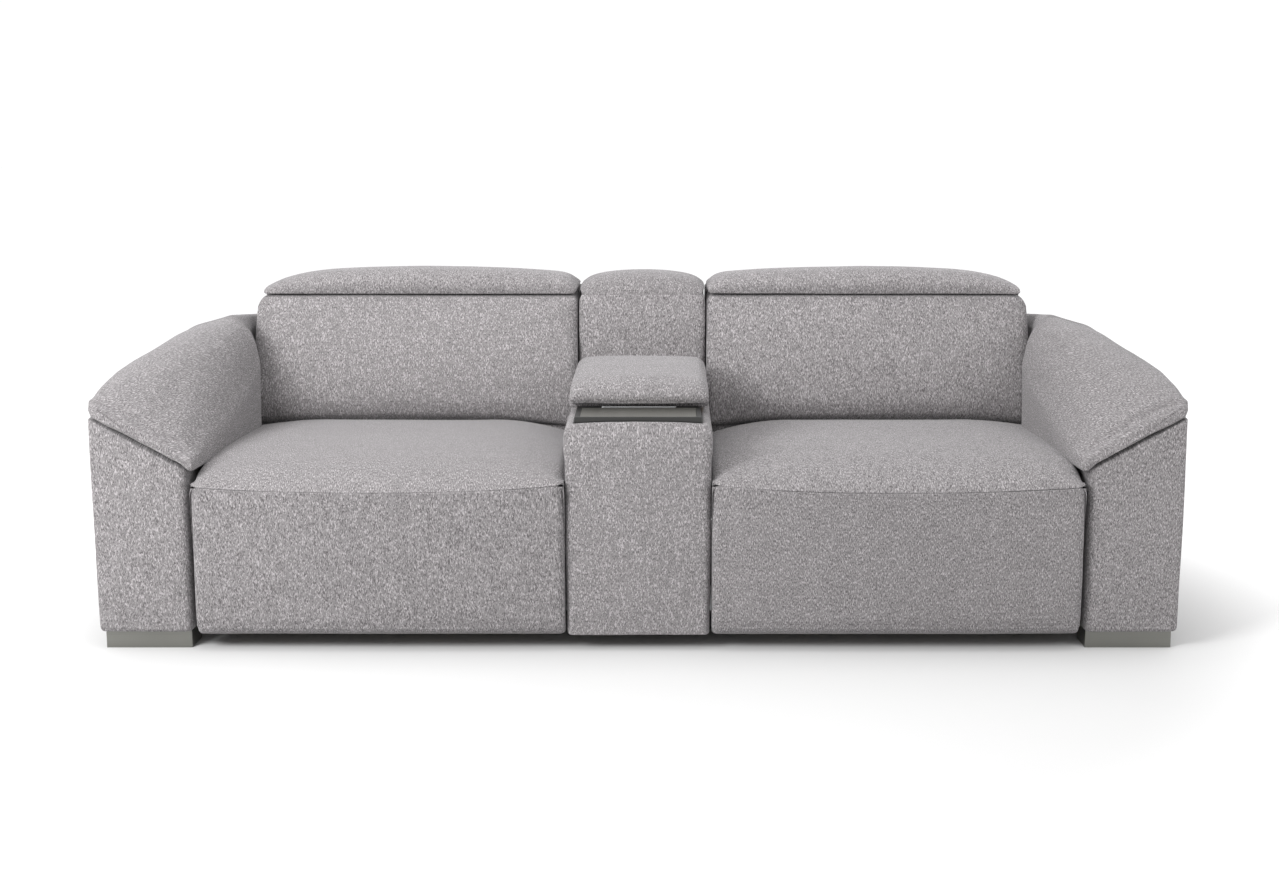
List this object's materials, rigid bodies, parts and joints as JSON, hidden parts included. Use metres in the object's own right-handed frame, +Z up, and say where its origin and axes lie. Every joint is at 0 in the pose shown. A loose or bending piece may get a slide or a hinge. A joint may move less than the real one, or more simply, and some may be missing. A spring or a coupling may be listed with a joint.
{
  "type": "power motion sofa with centre console",
  "caption": "Power reclining sofa with raised centre console: padded lift lid over a storage bin, flap tray, folding headrests, rising leg rests and sloping padded arms.",
  "frame": {"origin": "on the floor, at the centre of the overall box", "axes": "+Z up; the seats face -Y; +X to the right of someone who looks at the front"},
  "size_m": [2.398, 1.026, 0.8],
  "materials": {
    "upholstery": "heathered warm grey woven upholstery fabric, matt",
    "foot_metal": "satin grey",
    "black_steel": "black powder coat",
    "bright_steel": "zinc plated",
    "plywood": "raw plywood",
    "black_plastic": "fine grain",
    "tray_plastic": "satin dark grey",
    "flap_panel": "smooth grey, semi-gloss",
    "webbing": "woven elastic webbing"
  },
  "bodies": {
    "base": {"arm_frames": "plywood", "arm_cover_left": "upholstery", "arm_pad_left": "upholstery", "arm_cover_right": "upholstery", "arm_pad_right": "upholstery", "front_feet": "foot_metal", "rear_feet": "black_plastic", "base_frame_left": "black_steel", "base_frame_right": "black_steel", "recline_uprights": "black_steel", "recline_actuators": "black_plastic", "joining_brackets": "black_steel", "console_carcass": "plywood", "console_cover": "upholstery", "storage_bin": "black_plastic", "tray_frame": "tray_plastic", "lid_hinges": "bright_steel", "console_back_frame": "plywood", "console_back_cushion": "upholstery", "console_head_cushion": "upholstery", "console_rear_cover": "upholstery", "control_box": "black_plastic", "switch_plates": "tray_plastic"},
    "carriage_left": {"seat_frame_left": "black_steel", "seat_webbing_left": "webbing", "seat_cushion_left": "upholstery", "actuator_rod_left": "bright_steel", "legrest_motor_left": "black_plastic"},
    "legrest_left": {"legrest_board_left": "plywood", "legrest_pad_left": "upholstery"},
    "drive_left": {"drive_tube_left": "black_steel"},
    "link_left": {"legrest_links_left": "black_steel"},
    "back_left": {"back_frame_left": "plywood", "back_levers_left": "black_steel", "back_cushion_left": "upholstery", "back_rear_cover_left": "upholstery", "headrest_ratchets_left": "black_steel"},
    "headrest_left": {"headrest_plates_left": "black_steel", "headrest_cushion_left": "upholstery"},
    "switch_left": {"rocker_left": "black_plastic"},
    "carriage_right": {"seat_frame_right": "black_steel", "seat_webbing_right": "webbing", "seat_cushion_right": "upholstery", "actuator_rod_right": "bright_steel", "legrest_motor_right": "black_plastic"},
    "legrest_right": {"legrest_board_right": "plywood", "legrest_pad_right": "upholstery"},
    "drive_right": {"drive_tube_right": "black_steel"},
    "link_right": {"legrest_links_right": "black_steel"},
    "back_right": {"back_frame_right": "plywood", "back_levers_right": "black_steel", "back_cushion_right": "upholstery", "back_rear_cover_right": "upholstery", "headrest_ratchets_right": "black_steel"},
    "headrest_right": {"headrest_plates_right": "black_steel", "headrest_cushion_right": "upholstery"},
    "switch_right": {"rocker_right": "black_plastic"},
    "console_lid": {"lid_plate": "black_steel", "lid_pad": "upholstery"},
    "tray_door": {"tray_flap": "flap_panel"}
  },
  "joints": [
    {"name": "seat_slide_left", "type": "slide", "parent": "base", "child": "carriage_left", "axis": [0, -1, 0], "range_m": [0, 0.07766]},
    {"name": "recline_left", "type": "hinge", "parent": "carriage_left", "child": "back_left", "pos_m": [0, 0.25, 0.19], "axis": [-1, 0, 0], "range_deg": [0, 30]},
    {"name": "headrest_left", "type": "hinge", "parent": "back_left", "child": "headrest_left", "pos_m": [0, 0.205, 0.73], "axis": [1, 0, 0], "range_deg": [0, 65]},
    {"name": "legrest_left", "type": "hinge", "parent": "carriage_left", "child": "legrest_left", "pos_m": [0, -0.507, 0.357], "axis": [-1, 0, 0], "range_deg": [0, 85]},
    {"name": "drive_tube_left", "type": "hinge", "parent": "carriage_left", "child": "drive_left", "pos_m": [0, -0.355, 0.242], "axis": [-1, 0, 0], "range_deg": [0, 85.2]},
    {"name": "legrest_link_left", "type": "hinge", "parent": "drive_left", "child": "link_left", "pos_m": [0, -0.268, 0.105], "axis": [-1, 0, 0], "range_deg": [-85.2, 0]},
    {"name": "switch_left", "type": "hinge", "parent": "base", "child": "switch_left", "pos_m": [-0.1585, -0.22, 0.465], "axis": [0, 0, 1], "range_deg": [-5, 5], "stiffness_Nm_per_rad": 0.12},
    {"name": "seat_slide_right", "type": "slide", "parent": "base", "child": "carriage_right", "axis": [0, -1, 0], "range_m": [0, 0.07766]},
    {"name": "recline_right", "type": "hinge", "parent": "carriage_right", "child": "back_right", "pos_m": [0, 0.25, 0.19], "axis": [-1, 0, 0], "range_deg": [0, 30]},
    {"name": "headrest_right", "type": "hinge", "parent": "back_right", "child": "headrest_right", "pos_m": [0, 0.205, 0.73], "axis": [1, 0, 0], "range_deg": [0, 65]},
    {"name": "legrest_right", "type": "hinge", "parent": "carriage_right", "child": "legrest_right", "pos_m": [0, -0.507, 0.357], "axis": [-1, 0, 0], "range_deg": [0, 85]},
    {"name": "drive_tube_right", "type": "hinge", "parent": "carriage_right", "child": "drive_right", "pos_m": [0, -0.355, 0.242], "axis": [-1, 0, 0], "range_deg": [0, 85.2]},
    {"name": "legrest_link_right", "type": "hinge", "parent": "drive_right", "child": "link_right", "pos_m": [0, -0.268, 0.105], "axis": [-1, 0, 0], "range_deg": [-85.2, 0]},
    {"name": "switch_right", "type": "hinge", "parent": "base", "child": "switch_right", "pos_m": [0.1585, -0.22, 0.465], "axis": [0, 0, 1], "range_deg": [-5, 5], "stiffness_Nm_per_rad": 0.12},
    {"name": "console_lid", "type": "hinge", "parent": "base", "child": "console_lid", "pos_m": [0, 0.1, 0.52], "axis": [-1, 0, 0], "range_deg": [0, 75]},
    {"name": "tray_flap", "type": "hinge", "parent": "base", "child": "tray_door", "pos_m": [0, -0.352, 0.5195], "axis": [-1, 0, 0], "range_deg": [0, 70]}
  ],
  "couplings": [
    {"joint": "seat_slide_left", "follows": "recline_left", "m_per_rad": 0.14829},
    {"joint": "drive_tube_left", "follows": "legrest_left", "ratio": 1},
    {"joint": "legrest_link_left", "follows": "legrest_left", "ratio": -1},
    {"joint": "seat_slide_right", "follows": "recline_right", "m_per_rad": 0.14829},
    {"joint": "drive_tube_right", "follows": "legrest_right", "ratio": 1},
    {"joint": "legrest_link_right", "follows": "legrest_right", "ratio": -1}
  ]
}
